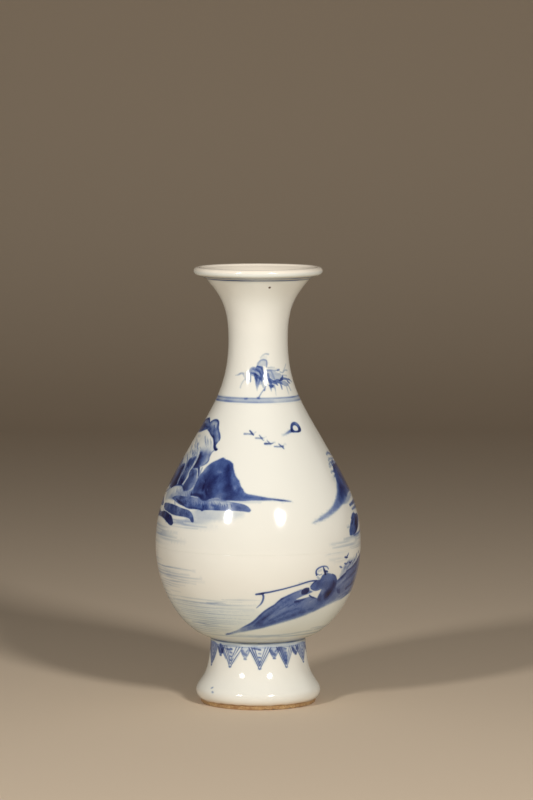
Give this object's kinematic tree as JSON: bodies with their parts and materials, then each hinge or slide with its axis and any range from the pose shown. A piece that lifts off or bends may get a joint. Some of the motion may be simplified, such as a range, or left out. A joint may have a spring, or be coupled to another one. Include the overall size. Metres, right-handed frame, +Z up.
{
  "type": "pear-shaped porcelain vase",
  "caption": "Pear-shaped porcelain vase with a flared rolled lip, slender neck, full low belly and tall splayed open foot, painted in underglaze blue.",
  "frame": {"origin": "on the vase's axis, in the plane of the foot's standing rim", "axes": "+Z up along the axis of revolution; the painted front of the landscape faces -Y and +X is to its right"},
  "size_m": [0.1034, 0.1034, 0.2196],
  "materials": {
    "glazed_porcelain": "warm white transparent glaze over porcelain, painted in cobalt blue under the glaze, bare at the standing rim",
    "luting_slip": "fired porcelain slip under the same glaze"
  },
  "bodies": {
    "root": {"foot": "glazed_porcelain", "foot_luting": "luting_slip", "lower_belly": "glazed_porcelain", "belly_luting": "luting_slip", "upper_belly": "glazed_porcelain", "neck_luting": "luting_slip", "neck": "glazed_porcelain"}
  },
  "joints": []
}
